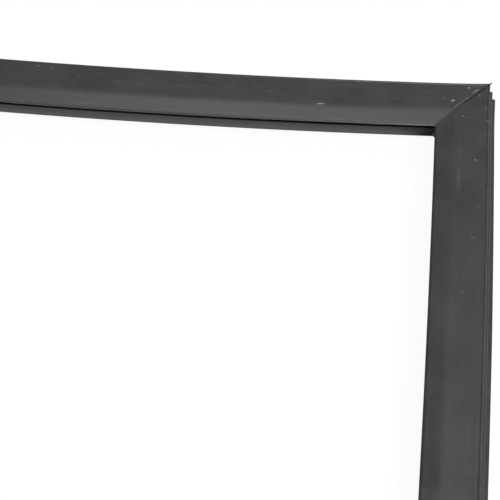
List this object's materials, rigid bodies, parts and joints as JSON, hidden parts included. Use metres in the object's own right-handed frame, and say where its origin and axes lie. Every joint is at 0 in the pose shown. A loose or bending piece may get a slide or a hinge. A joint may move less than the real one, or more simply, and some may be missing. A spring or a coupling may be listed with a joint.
{
  "type": "refrigerator door gasket",
  "caption": "Rectangular magnetic door seal ring: hollow soft PVC section with a flat sealing face, free inner lip, bellows, outer fin and flange, and a push-in dart, mitred at the corners.",
  "frame": {"origin": "centre of the ring's bounding box, at the tips of the push-in darts", "axes": "+Z out of the sealing face, +Y along the long sides, +X along the short sides"},
  "size_m": [0.5568, 0.6498, 0.028],
  "materials": {
    "soft_pvc": "semi-matt extruded soft PVC, dark grey",
    "magnet_rubber": "matt ferrite-filled rubber strip, dark brown"
  },
  "bodies": {
    "root": {"top_length": "soft_pvc", "left_length": "soft_pvc", "bottom_length": "soft_pvc", "right_length": "soft_pvc", "top_magnet_strip": "magnet_rubber", "left_magnet_strip": "magnet_rubber", "bottom_magnet_strip": "magnet_rubber", "right_magnet_strip": "magnet_rubber"}
  },
  "joints": []
}
